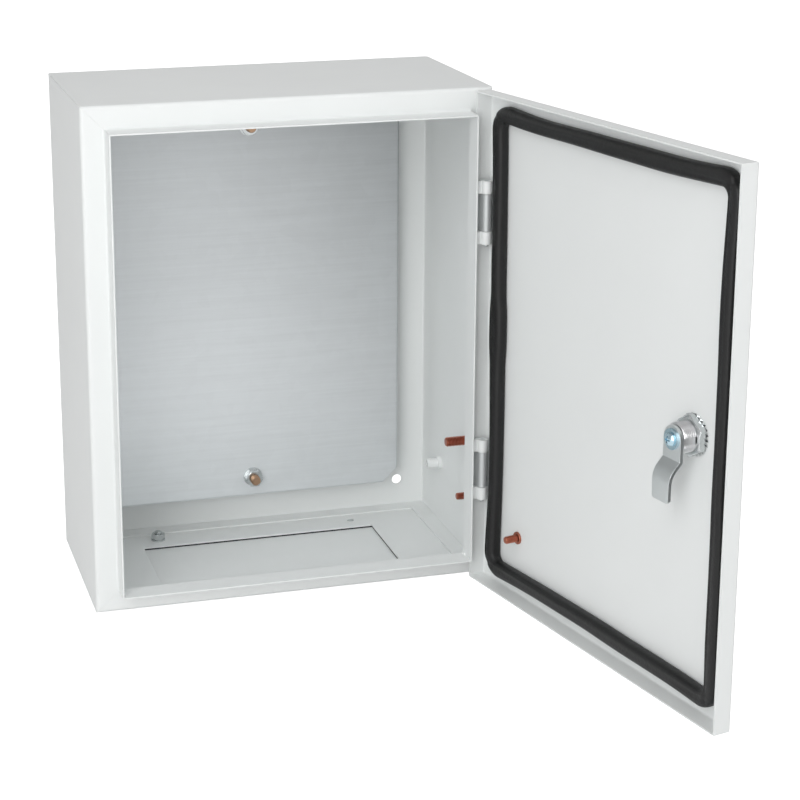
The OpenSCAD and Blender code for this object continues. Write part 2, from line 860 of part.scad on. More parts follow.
module cam_outline() {
    tip_r = 2.5;
    circle(d = cam_w);
    polygon([[-cam_w / 2, 0], [cam_w / 2, 0], [cam_w / 2, cam_bend],
             [cam_tip_w / 2, cam_len - tip_r], [cam_tip_w / 2 - tip_r, cam_len - tip_r],
             [-cam_tip_w / 2 + tip_r, cam_len - tip_r], [-cam_tip_w / 2, cam_len - tip_r],
             [-cam_w / 2, cam_bend]]);
    for (s = [-1, 1]) translate([s * (cam_tip_w / 2 - tip_r), cam_len - tip_r]) circle(tip_r);
    translate([-cam_tip_w / 2 + tip_r, cam_len - 2 * tip_r]) square([cam_tip_w - 2 * tip_r, 2 * tip_r]);
}

module lock_cam() {
    color([0.78, 0.8, 0.82]) on_core() difference() {
        intersection() {
            along_x(cam_w + 2) cam_profile();
            linear_extrude(cam_lift + past) cam_outline();
        }
        translate([0, 0, cam_seat + cam_t / 2]) cube([drive + play, drive + play, 2 * cam_t], center = true);
    }
}

module cam_washer() {
    color([0.8, 0.82, 0.84]) on_core() translate([0, 0, cam_seat + cam_t])
        ring(cam_screw_d * 1.5, cam_screw_d / 2 + play, cam_washer_t);
}

module cam_screw() {
    head = cam_screw_d * 0.7;
    head_r = cam_screw_d;
    dome_r = (head_r * head_r + head * head) / 2 / head + 1;
    shank = cam_washer_t + tap_deep - 1;
    recess = [head_r * 1.1, head_r * 0.22, head];
    color([0.8, 0.82, 0.84]) on_core() translate([0, 0, cam_seat + cam_t + cam_washer_t]) difference() {
        union() {
            translate([0, 0, -shank]) cylinder(h = shank, d = cam_screw_d);
            intersection() {
                cylinder(h = head, r = head_r);
                translate([0, 0, head - dome_r]) sphere(dome_r);
            }
        }
        for (a = [0, 90]) rotate([0, 0, a]) translate([0, 0, head]) cube(recess, center = true);
    }
}

body_wrap();
top_panel();
bottom_panel();
mounting_plate();
plate_studs();
plate_spacers();
plate_washers();
plate_nuts();
earth_stud_large();
earth_stud_small();
threaded_boss();
gland_plate();
gland_gasket();
gland_screws();
gland_washer();
gland_nut();
hinge_knuckles_upper();
hinge_knuckles_lower();
hinge_pin_upper();
hinge_pin_lower();
hinge_leaf_upper();
hinge_leaf_lower();
door_pan();
door_gasket();
door_earth_stud();
lock_housing();
lock_seal();
lock_toothed_washer();
lock_nut();
lock_core();
lock_cam();
cam_washer();
cam_screw();
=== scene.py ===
"""Steel wall enclosure with its door standing open, dressed for a studio view.

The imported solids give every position.  Sheet metal, nuts and hinges keep their solids and
get finishes; the foamed seal, the threads, the lock's barrel and its toothed washer are
made here.  Metres, +Z up, the cabinet's front faces -Y.
"""

import json
import math

import bpy
from mathutils import Matrix, Vector


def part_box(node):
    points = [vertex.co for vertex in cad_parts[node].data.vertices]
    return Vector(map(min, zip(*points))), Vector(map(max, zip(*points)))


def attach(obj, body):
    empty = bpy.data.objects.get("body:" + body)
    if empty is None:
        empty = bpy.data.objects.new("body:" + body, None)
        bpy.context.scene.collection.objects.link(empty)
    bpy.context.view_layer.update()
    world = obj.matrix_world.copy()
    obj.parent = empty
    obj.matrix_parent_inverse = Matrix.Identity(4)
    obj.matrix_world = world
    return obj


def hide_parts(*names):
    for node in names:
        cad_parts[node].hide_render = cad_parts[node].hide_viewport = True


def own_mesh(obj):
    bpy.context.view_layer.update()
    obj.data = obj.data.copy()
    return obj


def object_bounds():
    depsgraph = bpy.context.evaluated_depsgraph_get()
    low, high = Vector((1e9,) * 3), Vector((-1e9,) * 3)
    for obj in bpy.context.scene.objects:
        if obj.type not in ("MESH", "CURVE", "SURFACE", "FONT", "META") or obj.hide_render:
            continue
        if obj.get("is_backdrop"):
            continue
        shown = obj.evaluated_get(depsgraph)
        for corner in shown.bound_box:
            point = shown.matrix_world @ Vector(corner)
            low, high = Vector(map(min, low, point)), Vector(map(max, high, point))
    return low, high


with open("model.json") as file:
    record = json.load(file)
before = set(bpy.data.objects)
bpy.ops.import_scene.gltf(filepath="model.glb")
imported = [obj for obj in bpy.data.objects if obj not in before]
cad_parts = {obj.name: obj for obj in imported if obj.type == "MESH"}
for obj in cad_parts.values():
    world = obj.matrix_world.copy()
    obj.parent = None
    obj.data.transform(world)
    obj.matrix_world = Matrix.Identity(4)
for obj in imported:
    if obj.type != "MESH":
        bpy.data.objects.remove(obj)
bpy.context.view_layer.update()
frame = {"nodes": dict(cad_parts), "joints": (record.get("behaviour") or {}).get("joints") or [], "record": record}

MM = 0.001
JOINTS = {joint["name"]: joint for joint in frame["joints"]}


def hinge_turn():
    """Matrix that swings the shut door to where it stands at rest."""
    hinge = JOINTS["door_hinge"]
    at = Vector(hinge["pos_m"])
    swing = Matrix.Rotation(math.radians(-hinge["range_deg"][0]), 4, "Z")
    return Matrix.Translation(at) @ swing @ Matrix.Translation(-at)


def lock_place():
    """Matrix of the lock: z runs along its axis into the cabinet, y points down."""
    lock = JOINTS["lock_turn"]
    z = Vector(lock["axis"]).normalized()
    y = Vector((0, 0, -1))
    x = y.cross(z)
    turn = Matrix((x, y, z)).transposed().to_4x4()
    return Matrix.Translation(Vector(lock["pos_m"])) @ turn


SWING = hinge_turn()
LOCK = lock_place()


def corners(node, undo=None):
    """Lowest and highest corner of a CAD node, read in the frame that undo leads back to."""
    back = (undo or Matrix()).inverted()
    points = [back @ v.co for v in frame["nodes"][node].data.vertices]
    low = Vector([min(p[i] for p in points) for i in range(3)])
    high = Vector([max(p[i] for p in points) for i in range(3)])
    return low, high


def along(start, end):
    """Matrix that lays a piece made along +z from start towards end."""
    aim = (Vector(end) - Vector(start)).normalized()
    return Matrix.Translation(Vector(start)) @ aim.to_track_quat("Z", "Y").to_matrix().to_4x4()


# ---------------------------------------------------------------- shader groups


def scaled_colour(tree, colour, gain):
    """Colour socket times a factor."""
    node = tree.nodes.new("ShaderNodeVectorMath")
    node.operation = "SCALE"
    tree.links.new(colour, node.inputs[0])
    tree.links.new(gain, node.inputs["Scale"])
    return node.outputs[0]


def new_group(name, inputs, outputs):
    """Node group with float or colour sockets; inputs maps names to their first values."""
    tree = bpy.data.node_groups.new(name, "ShaderNodeTree")
    for label, value in inputs.items():
        kind = "NodeSocketColor" if isinstance(value, tuple) else "NodeSocketFloat"
        socket = tree.interface.new_socket(name=label, in_out="INPUT", socket_type=kind)
        socket.default_value = value
    for label, kind in outputs.items():
        tree.interface.new_socket(name=label, in_out="OUTPUT", socket_type=kind)
    return tree, tree.nodes.new("NodeGroupInput"), tree.nodes.new("NodeGroupOutput")


def noise(tree, scale, detail=3.0, rough=0.55, stretch=None):
    """Noise on the object's own coordinates; scale is a number or a socket."""
    place = tree.nodes.new("ShaderNodeTexCoord")
    source = place.outputs["Object"]
    if stretch:
        mapping = tree.nodes.new("ShaderNodeMapping")
        mapping.inputs["Scale"].default_value = stretch
        tree.links.new(source, mapping.inputs["Vector"])
        source = mapping.outputs["Vector"]
    texture = tree.nodes.new("ShaderNodeTexNoise")
    texture.inputs["Detail"].default_value = detail
    texture.inputs["Roughness"].default_value = rough
    tree.links.new(source, texture.inputs["Vector"])
    if isinstance(scale, (int, float)):
        texture.inputs["Scale"].default_value = scale
    else:
        tree.links.new(scale, texture.inputs["Scale"])
    return texture.outputs["Fac"]


def maths(tree, operation, *values):
    """One Math node; each value is a number or a socket."""
    node = tree.nodes.new("ShaderNodeMath")
    node.operation = operation
    for slot, value in zip(node.inputs, values):
        if isinstance(value, (int, float)):
            slot.default_value = value
        else:
            tree.links.new(value, slot)
    return node.outputs[0]


def tone_group():
    """Colour that drifts a little lighter and darker over the surface."""
    tree, given, out = new_group(
        "tone_drift",
        {"Colour": (0.7, 0.7, 0.7, 1), "Drift": 0.05, "Scale": 8.0},
        {"Colour": "NodeSocketColor"},
    )
    drift = maths(tree, "SUBTRACT", noise(tree, given.outputs["Scale"]), 0.5)
    gain = maths(tree, "MULTIPLY_ADD", drift, given.outputs["Drift"], 1.0)
    tree.links.new(scaled_colour(tree, given.outputs["Colour"], gain), out.inputs["Colour"])
    return tree


def gloss_group():
    """Roughness that varies round a middle value."""
    tree, given, out = new_group(
        "gloss_drift",
        {"Middle": 0.4, "Spread": 0.1, "Scale": 60.0},
        {"Roughness": "NodeSocketFloat"},
    )
    drift = maths(tree, "SUBTRACT", noise(tree, given.outputs["Scale"]), 0.5)
    rough = maths(tree, "MULTIPLY_ADD", drift, given.outputs["Spread"], given.outputs["Middle"])
    tree.links.new(rough, out.inputs["Roughness"])
    return tree


def peel_group():
    """Height of a stoved powder coat: fine pebbling on a slower waviness."""
    tree, given, out = new_group(
        "coat_peel", {"Scale": 900.0}, {"Height": "NodeSocketFloat"}
    )
    fine = noise(tree, given.outputs["Scale"], 1.0, 0.4)
    slow = noise(tree, maths(tree, "MULTIPLY", given.outputs["Scale"], 0.18), 2.0)
    height = maths(tree, "MULTIPLY_ADD", slow, 0.6, fine)
    tree.links.new(height, out.inputs["Height"])
    return tree


def rubbing_group():
    """Fine level lines from rolling and rubbing, with a share of upright ones, from 0 to 1."""
    tree, given, out = new_group(
        "rub_lines", {"Scale": 400.0, "Upright": 0.5}, {"Lines": "NodeSocketFloat"}
    )
    level = noise(tree, given.outputs["Scale"], 4.0, 0.6, (0.03, 1.0, 1.0))
    upright = noise(tree, given.outputs["Scale"], 4.0, 0.6, (1.0, 1.0, 0.03))
    change = maths(tree, "SUBTRACT", upright, level)
    tree.links.new(maths(tree, "MULTIPLY_ADD", change, given.outputs["Upright"], level),
                   out.inputs["Lines"])
    return tree


GROUPS = {
    "tone": tone_group(),
    "gloss": gloss_group(),
    "peel": peel_group(),
    "rub": rubbing_group(),
}


class Finish:
    """A material with its Principled shader, and short calls to feed its sockets."""

    def __init__(self, name, colour, **fixed):
        self.material = bpy.data.materials.new(name)
        self.material.use_nodes = True
        self.material.diffuse_color = (*colour, 1)
        self.tree = self.material.node_tree
        self.shader = self.tree.nodes["Principled BSDF"]
        self.shader.inputs["Base Color"].default_value = (*colour, 1)
        for label, value in fixed.items():
            self.shader.inputs[label.replace("_", " ")].default_value = value

    def group(self, kind, **values):
        """Shared node group of that kind, with its own input values."""
        node = self.tree.nodes.new("ShaderNodeGroup")
        node.node_tree = GROUPS[kind]
        for label, value in values.items():
            node.inputs[label].default_value = value
        return node

    def tone(self, colour, drift, scale):
        """Base colour that drifts by the given share."""
        node = self.group("tone", Colour=(*colour, 1), Drift=drift, Scale=scale)
        self.tree.links.new(node.outputs["Colour"], self.shader.inputs["Base Color"])

    def gloss(self, middle, spread, scale):
        """Roughness that varies round a middle value."""
        node = self.group("gloss", Middle=middle, Spread=spread, Scale=scale)
        self.tree.links.new(node.outputs["Roughness"], self.shader.inputs["Roughness"])

    def relief(self, height, depth, strength=1.0, edge=None):
        """Bump of the given depth in metres; edge rounds sharp arrises by that radius."""
        bump = self.tree.nodes.new("ShaderNodeBump")
        bump.inputs["Distance"].default_value = depth
        bump.inputs["Strength"].default_value = strength
        self.tree.links.new(height, bump.inputs["Height"])
        if edge:
            bevel = self.tree.nodes.new("ShaderNodeBevel")
            bevel.samples = 4
            bevel.inputs["Radius"].default_value = edge
            self.tree.links.new(bevel.outputs["Normal"], bump.inputs["Normal"])
        self.tree.links.new(bump.outputs["Normal"], self.shader.inputs["Normal"])


def powder_coat():
    """Light grey polyester powder, stoved, with its faint orange peel."""
    grey = (0.845, 0.865, 0.86)
    finish = Finish("powder_coat", grey, Specular_IOR_Level=0.45)
    finish.tone(grey, 0.05, 9.0)
    finish.gloss(0.42, 0.12, 45.0)
    finish.relief(finish.group("peel", Scale=850.0).outputs["Height"], 0.00004, 0.5, 0.0005)
    return finish.material


def galvanised_sheet():
    """Hot-dip galvanised sheet: faint spangle, level mill lines, and painted shade and light: darker towards its
    upper right, paler towards its lower left.
    """
    zinc = (0.66, 0.685, 0.70)
    finish = Finish("galvanised_sheet", zinc, Metallic=0.5)
    tree = finish.tree
    place = tree.nodes.new("ShaderNodeTexCoord")
    cells = tree.nodes.new("ShaderNodeTexVoronoi")
    cells.inputs["Scale"].default_value = 95.0
    cells.inputs["Randomness"].default_value = 1.0
    tree.links.new(place.outputs["Object"], cells.inputs["Vector"])
    flake = tree.nodes.new("ShaderNodeSeparateColor")
    tree.links.new(cells.outputs["Color"], flake.inputs["Color"])
    lines = finish.group("rub", Scale=420.0, Upright=0.08).outputs["Lines"]
    cell = maths(tree, "SUBTRACT", flake.outputs["Red"], 0.5)
    gain = maths(tree, "MULTIPLY_ADD", cell, 0.025, 1.0)
    gain = maths(tree, "MULTIPLY_ADD", maths(tree, "SUBTRACT", lines, 0.5), 0.16, gain)
    # Painted shade and light: the colour darkens towards the sheet's upper right and grows paler towards its lower
    # left.
    painted_shade_axes = tree.nodes.new("ShaderNodeSeparateXYZ")
    tree.links.new(place.outputs["Object"], painted_shade_axes.inputs["Vector"])
    for axis in "XZ":
        gain = maths(tree, "MULTIPLY_ADD", painted_shade_axes.outputs[axis], -1.1, gain)
    drifting = finish.group("tone", Colour=(*zinc, 1), Drift=0.08, Scale=7.0).outputs["Colour"]
    tree.links.new(scaled_colour(tree, drifting, gain), finish.shader.inputs["Base Color"])
    rough = maths(tree, "MULTIPLY_ADD", cell, 0.04, 0.46)
    rough = maths(tree, "MULTIPLY_ADD", maths(tree, "SUBTRACT", lines, 0.5), 0.2, rough)
    tree.links.new(rough, finish.shader.inputs["Roughness"])
    finish.relief(lines, 0.00002, 0.4, 0.0004)
    return finish.material


def zinc_plate(name="zinc_plate", zinc=(0.62, 0.645, 0.65), rough=0.24, edge=0.0002, metal=1.0):
    """Zinc plate, faintly rubbed; the dull kind has a chromate film that scatters light."""
    finish = Finish(name, zinc, Metallic=metal)
    finish.tone(zinc, 0.05, 120.0)
    finish.gloss(rough, 0.06, 500.0)
    finish.relief(finish.group("rub", Scale=1800.0).outputs["Lines"], 0.000002, 0.3, edge)
    return finish.material


def plated_casting():
    """Polished nickel plate over a die casting."""
    nickel = (0.80, 0.80, 0.81)
    finish = Finish("plated_casting", nickel, Metallic=1.0)
    finish.tone(nickel, 0.04, 150.0)
    finish.gloss(0.3, 0.03, 90.0)
    finish.relief(finish.group("peel", Scale=90.0).outputs["Height"], 0.000002, 0.2, 0.0002)
    return finish.material


def copper_plate(name="copper_plate", copper=(0.44, 0.155, 0.10)):
    """Copper flash on welded studs, a little dull."""
    finish = Finish(name, copper, Metallic=1.0)
    finish.tone(copper, 0.35, 260.0)
    finish.gloss(0.33, 0.16, 700.0)
    finish.relief(finish.group("rub", Scale=1500.0).outputs["Lines"], 0.00001, 0.5)
    return finish.material


def foam_seal():
    """Foamed polyurethane: a dull black skin, finely pored."""
    black = (0.007, 0.007, 0.0072)
    finish = Finish("foam_seal", black, Specular_IOR_Level=0.38)
    finish.tone(black, 0.5, 240.0)
    finish.gloss(0.44, 0.2, 350.0)
    tree = finish.tree
    place = tree.nodes.new("ShaderNodeTexCoord")
    pores = tree.nodes.new("ShaderNodeTexVoronoi")
    pores.inputs["Scale"].default_value = 1100.0
    tree.links.new(place.outputs["Object"], pores.inputs["Vector"])
    height = maths(tree, "MULTIPLY_ADD", noise(tree, 420.0, 3.0), 2.0, pores.outputs["Distance"])
    finish.relief(height, 0.00016, 0.7)
    return finish.material


FINISHES = {
    "powder_coat": powder_coat(),
    "galvanised_sheet": galvanised_sheet(),
    "zinc_plate": zinc_plate(),
    "plated_casting": plated_casting(),
    "copper_plate": copper_plate(),
    "foam_seal": foam_seal(),
}
BLUE_ZINC = zinc_plate("blue_zinc_plate", (0.50, 0.66, 0.74), 0.20)
ROUNDED_ZINC = zinc_plate("zinc_plate_rounded_edges", (0.66, 0.69, 0.695), 0.33, 0.0006)
DULL_ZINC = zinc_plate("dull_zinc_plate", (0.60, 0.62, 0.625), 0.42, metal=0.35)
DULL_COPPER = copper_plate("dull_copper_plate", (0.45, 0.29, 0.19))
DARK_CASTING = zinc_plate("dark_lock_casting", (0.16, 0.165, 0.17), 0.5, metal=0.3)
OWN_FINISH = {"lock_core": DARK_CASTING, "cam_screw": BLUE_ZINC, "cam_washer": BLUE_ZINC,
              "lock_cam": ROUNDED_ZINC, "hinge_leaf_upper": DULL_ZINC,
              "hinge_leaf_lower": DULL_ZINC, "hinge_pin_upper": ROUNDED_ZINC,
              "hinge_pin_lower": ROUNDED_ZINC}


def finish_solids():
    """Give every CAD node the finish that the record names, or its own shade of it."""
    for part in frame["record"]["subparts"]:
        name = part["node"]
        for place in frame["nodes"][name].material_slots:
            place.material = OWN_FINISH.get(name, FINISHES[part["material_slot"]])


# ---------------------------------------------------------------- mesh helpers


def piece(name, points, faces, slot, body, place=None, crease=35, finish=None):
    """Mesh object in the model's frame, finished, smoothed up to the crease angle, riding a body."""
    mesh = bpy.data.meshes.new(name)
    at = place or Matrix()
    mesh.from_pydata([at @ Vector(p) for p in points], [], faces)
    mesh.polygons.foreach_set("use_smooth", [True] * len(mesh.polygons))
    mesh.set_sharp_from_angle(angle=math.radians(crease))
    mesh.materials.append(finish or FINISHES[slot])
    made = bpy.data.objects.new(name, mesh)
    bpy.context.scene.collection.objects.link(made)
    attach(made, body)
    return made


def skin(rings, closed=False):
    """Faces that join rings of equal length, each a closed loop; closed joins last to first."""
    count, around = len(rings), len(rings[0])
    points = [p for ring in rings for p in ring]
    faces = []
    for i in range(count if closed else count - 1):
        a, b = i * around, (i + 1) % count * around
        for k in range(around):
            n = (k + 1) % around
            faces.append((a + k, a + n, b + n, b + k))
    if not closed:
        faces.append(tuple(reversed(range(around))))
        faces.append(tuple(range((count - 1) * around, count * around)))
    return points, faces


def merge(*shapes):
    """Points and faces of several shapes as one."""
    points, faces = [], []
    for some_points, some_faces in shapes:
        base = len(points)
        points += some_points
        faces += [tuple(base + i for i in face) for face in some_faces]
    return points, faces


def moved(shape, place):
    """Shape laid where the matrix puts it."""
    points, faces = shape
    return [place @ Vector(p) for p in points], faces


def turned_ring(radius, z, around):
    """Level circle of points; radius is a length or a function of the angle."""
    angles = [2 * math.pi * k / around for k in range(around)]
    reach = [radius(a) if callable(radius) else radius for a in angles]
    return [(r * math.cos(a), r * math.sin(a), z) for r, a in zip(reach, angles)]


def hexagon_reach(across, angle):
    """Distance from a hexagon's middle to its side, two corners level on x."""
    return across / 2 / math.cos((angle + math.pi / 6) % (math.pi / 3) - math.pi / 6)


def corner_reach(across):
    """Distance from a hexagon's middle to its corners."""
    return across / 2 / math.cos(math.pi / 6)


def thread_height(turn):
    """Depth share of a rolled thread at a point of its pitch: 0 on the crest, 1 in the root."""
    wave = 1 - abs(2 * (turn % 1) - 1)
    crest, flank = 0.12, 0.7
    return min(1.0, max(0.0, (wave - crest) / flank))


def threaded(radius, pitch, start, end, lead, around=40, fine=8, flat=None, bore=None):
    """Thread along z from start to end, chamfered at its end; flat cuts it to two flats."""
    turns = (end - start) / pitch
    steps = max(8, round(turns * fine))
    levels = [start + (end - start) * i / steps for i in range(steps + 1)]
    rings = []
    for z in levels:
        ring = []
        for k in range(around):
            angle = 2 * math.pi * k / around
            deep = 0.58 * pitch * thread_height(z / pitch - k / around)
            r = min(radius - deep, radius - max(0.0, z - (end - lead)))
            x, y = r * math.cos(angle), r * math.sin(angle)
            if flat:
                x = max(-flat, min(flat, x))
            ring.append((x, y, z))
        rings.append(ring)
    if bore:
        rings += [turned_ring(bore, z, around) for z in (end, start)]
        return skin(rings, closed=True)
    return skin(rings)


def revolved(profile, around=64):
    """Closed ring turned about z from a loop of (radius, z) points."""
    rings = []
    for k in range(around):
        c, s = math.cos(2 * math.pi * k / around), math.sin(2 * math.pi * k / around)
        rings.append([(r * c, r * s, z) for r, z in profile])
    return skin(rings, closed=True)


# ---------------------------------------------------------------- the foamed seal


def seal_path(low, high, width, corner):
    """Middle line of the bead in the shut door's plane: (x, z, direction, how near a corner)."""
    half = width / 2
    x0, x1 = low.x + half, high.x - half
    z0, z1 = low.z + half, high.z - half
    centres = [(x1 - corner, z0 + corner, -90), (x1 - corner, z1 - corner, 0),
               (x0 + corner, z1 - corner, 90), (x0 + corner, z0 + corner, 180)]
    stops = []
    for i, (cx, cz, start) in enumerate(centres):
        for k in range(13):
            angle = math.radians(start + 90 * k / 12)
            stops.append((cx + corner * math.cos(angle), cz + corner * math.sin(angle), angle))
        nx, nz, _ = centres[(i + 1) % 4]
        ex, ez, angle = stops[-1]
        after = math.radians(start + 90)
        tx, tz = nx + corner * math.cos(after), nz + corner * math.sin(after)
        run = math.hypot(tx - ex, tz - ez)
        steps = round(run / (3.2 * MM))
        for k in range(1, steps):
            share = k / steps
            stops.append((ex + (tx - ex) * share, ez + (tz - ez) * share, angle))
    return stops, (x0, x1, z0, z1)


LIP_IN = 18.6 * MM  # from the cabinet's side to the middle of its lip
PAUSE_AT = 14 * MM  # height on the hinge side where the foaming nozzle slowed down


def wander(s, seeds):
    """Slow hand-laid waver along the bead, about -1 to 1."""
    return sum(math.sin(s * rate + shift) * size for rate, shift, size in seeds)


def door_seal():
    """Bead foamed on to the door: full at the corners, wavering, creased where the lip lands."""
    low, high = corners("door_gasket", SWING)
    width, tall_bead = 14 * MM, 9.8 * MM
    base = low.y
    bend = 12 * MM
    stops, (x0, x1, z0, z1) = seal_path(low, high, width, bend)
    cabinet = corners("body_wrap")[1]
    lip_x, lip_z = cabinet.x - LIP_IN, cabinet.z - LIP_IN
    side = [(41, 0.3, 0.5), (19, 1.9, 0.7), (88, 4.0, 0.12)]
    swell = [(33, 2.2, 0.5), (15, 5.1, 0.5), (79, 0.7, 0.12)]
    start_joint = (z1 - z0) + (x1 - x0) + (math.pi - 4) * bend + 10 * MM
    rings, s, before = [], 0.0, None
    around = 34
    for x, z, angle in stops:
        if before:
            s += math.hypot(x - before[0], z - before[1])
        before = (x, z)
        out = Vector((math.cos(angle), 0, math.sin(angle)))
        reach = min(math.hypot(x - cx, z - cz) for cx in (x0, x1) for cz in (z0, z1))
        corner = math.exp(-((reach / (30 * MM)) ** 2))
        shift = (0.5 * wander(s, side) - 0.9 + 1.6 * corner) * MM
        half = width / 2 - 0.8 * MM + (0.35 * wander(s, swell) + 0.4 * corner) * MM
        pause = math.exp(-(((z - PAUSE_AT) / (22 * MM)) ** 4)) if x > x1 - 0.1 * MM else 0.0
        half += 1.7 * MM * pause
        tall = tall_bead * (0.97 + 0.03 * wander(s * 1.3, side))
        joint = math.exp(-(((s - start_joint) / (1.6 * MM)) ** 2))
        ring = []
        for k in range(around):
            turn = 2 * math.pi * k / around
            c, d = math.cos(turn), math.sin(turn)
            across = half * math.copysign(abs(c) ** 0.72, c)
            up = tall * (0.36 + 0.64 * abs(d) ** 0.62) if d >= 0 else tall * 0.36 * (1 - abs(d) ** 0.5)
            if across > 0:
                across -= 2.2 * MM * joint
            point = Vector((x, base, z)) + out * (across + shift)
            to_lip = min(abs(abs(point.x) - lip_x) if abs(point.z) < lip_z + 2 * MM else 1,
                         abs(abs(point.z) - lip_z) if abs(point.x) < lip_x + 2 * MM else 1)
            if d > 0:
                up -= 1.0 * MM * math.exp(-((to_lip / (0.9 * MM)) ** 2))
            point.y = base + up
            ring.append(point)
        rings.append(ring)
    points, faces = skin(rings, closed=True)
    seal = piece("foamed_door_seal", points, faces, "foam_seal", "door", SWING, crease=75)
    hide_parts("door_gasket")
    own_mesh(seal)


# ---------------------------------------------------------------- threads and screws


M8_PITCH = 1.25 * MM
M6_PITCH, M6_RADIUS, M6_LEAD = 1 * MM, 3 * MM, 0.72 * MM

def plate_studs():
    """Welded studs that carry the mounting plate."""
    low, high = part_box("plate_studs")
    radius = (high.x - low.x) / 2
    shape = threaded(radius, M8_PITCH, 0, high.y - low.y, 0.24 * radius)
    made = []
    for z in (low.z + radius, high.z - radius):
        place = along((low.x + radius, high.y, z), (low.x + radius, low.y, z))
        made.append(moved(shape, place))
    studs = piece("plate_stud_threads", *merge(*made), "copper_plate", "cabinet", finish=DULL_COPPER)
    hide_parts("plate_studs")


def wall_stud(node, pitch):
    """Earth stud that points left from the right wall."""
    low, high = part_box(node)
    radius = (high.z - low.z) / 2
    start = (high.x, low.y + radius, low.z + radius)
    end = (low.x, low.y + radius, low.z + radius)
    shape = threaded(radius, pitch, 0, high.x - low.x, 0.24 * radius)
    stud = piece(node + "_thread", *shape, "copper_plate", "cabinet", along(start, end))
    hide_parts(node)


def door_stud():
    """Door's earth stud: a thread above its welded flange."""
    low, high = corners("door_earth_stud", SWING)
    middle = Vector(((low.x + high.x) / 2, low.y, (low.z + high.z) / 2))
    base_r, base_t = (high.x - low.x) / 2, 1.5 * MM
    ease = 0.35 * MM
    flange = revolved([(0.4 * base_r, 0), (base_r, 0), (base_r, base_t - ease),
                       (base_r - ease, base_t), (0.4 * base_r, base_t)], 40)
    shape = threaded(M6_RADIUS, M6_PITCH, 0, high.y - low.y, M6_LEAD)
    place = SWING @ along(middle, middle + Vector((0, 1, 0)))
    stud = piece("door_stud_thread", *merge(shape, flange), "copper_plate", "door", place)
    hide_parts("door_earth_stud")


def hexagon(across, height, down=False):
    """Hexagon head with a turned chamfer on its free end, from z = 0."""
    corner_r = corner_reach(across)
    around, rings = 48, []
    fall = (corner_r - across / 2) * 0.6
    sign = -1 if down else 1
    for share in (0.0, 0.5, 0.8, 0.92, 1.0):
        cut = max(0.0, (share * height - height + fall) / fall)
        limit = corner_r - (corner_r - across / 2) * cut
        rings.append(turned_ring(lambda a: min(hexagon_reach(across, a), limit),
                                 sign * share * height, around))
    points, faces = skin(rings)
    return (points, [tuple(reversed(f)) for f in faces]) if down else (points, faces)


def gland_screws():
    """Four hexagon screws of the gland plate; the rear left one is longer."""
    low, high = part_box("gland_screws")
    plate_low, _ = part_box("gland_plate")
    across = 10 * MM
    corner_r = corner_reach(across)
    head = plate_low.z - low.z
    xs = (low.x + corner_r, high.x - corner_r)
    ys = (low.y + across / 2, high.y - across / 2)
    floor_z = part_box("gland_washer")[0].z
    shapes = []
    for x in xs:
        for y in ys:
            tip = high.z if x < 0 and y == ys[1] else floor_z + 0.3 * MM
            place = Matrix.Translation((x, y, plate_low.z))
            for shape in (threaded(M6_RADIUS, M6_PITCH, 0, tip - plate_low.z, M6_LEAD),
                          hexagon(across, head, down=True)):
                shapes.append(moved(shape, place))
    screws = piece("gland_screw_set", *merge(*shapes), "zinc_plate", "cabinet")
    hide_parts("gland_screws")


# ---------------------------------------------------------------- welds


def corner_welds():
    """Short weld runs inside the four mitred corners of the lip, painted over."""
    low, high = corners("body_wrap")
    inner, top = high.x - LIP_IN - 0.6 * MM, high.z - LIP_IN - 0.6 * MM
    front = low.y
    shapes = []
    for sx in (-1, 1):
        for sz in (-1, 1):
            for depth, size in ((14.2, 1.5), (15.6, 1.9), (17.3, 1.6)):
                rings = []
                for i in range(1, 8):
                    lift = math.pi * i / 8
                    r = size * MM * math.sin(lift)
                    rings.append([(sx * (inner - 0.1 * MM) + r * math.cos(2 * math.pi * k / 12),
                                   front + depth * MM - size * MM * 0.9 * math.cos(lift),
                                   sz * (top - 0.1 * MM) + r * math.sin(2 * math.pi * k / 12))
                                  for k in range(12)])
                shapes.append(skin(rings))
    piece("lip_corner_welds", *merge(*shapes), "powder_coat", "cabinet")


# ---------------------------------------------------------------- lock


THREAD_BORE = 11.1 * MM  # nut and washer over the barrel

def lock_barrel():
    """Housing of the lock: outside bezel, threaded barrel with two flats, open bore."""
    low, high = corners("lock_housing", LOCK)
    bezel_r, bore, thread_r = high.x, 7.56 * MM, 11 * MM
    door_under = corners("lock_seal", LOCK)[0].z
    edge, head_bore, recess = 1 * MM, 9.56 * MM, low.z + 2 * MM
    barrel = threaded(thread_r, 1.5 * MM, door_under, high.z, 0.9 * MM, around=120,
                      fine=14, flat=10 * MM, bore=bore)
    bezel = revolved([(head_bore, low.z), (bezel_r - edge, low.z),
                      (bezel_r - 0.3 * edge, low.z + 0.3 * edge), (bezel_r, low.z + edge),
                      (bezel_r, door_under), (bore, door_under), (bore, recess),
                      (head_bore, recess)], 96)
    housing = piece("lock_barrel_threaded", *merge(barrel, bezel), "plated_casting", "door", LOCK)
    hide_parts("lock_housing")


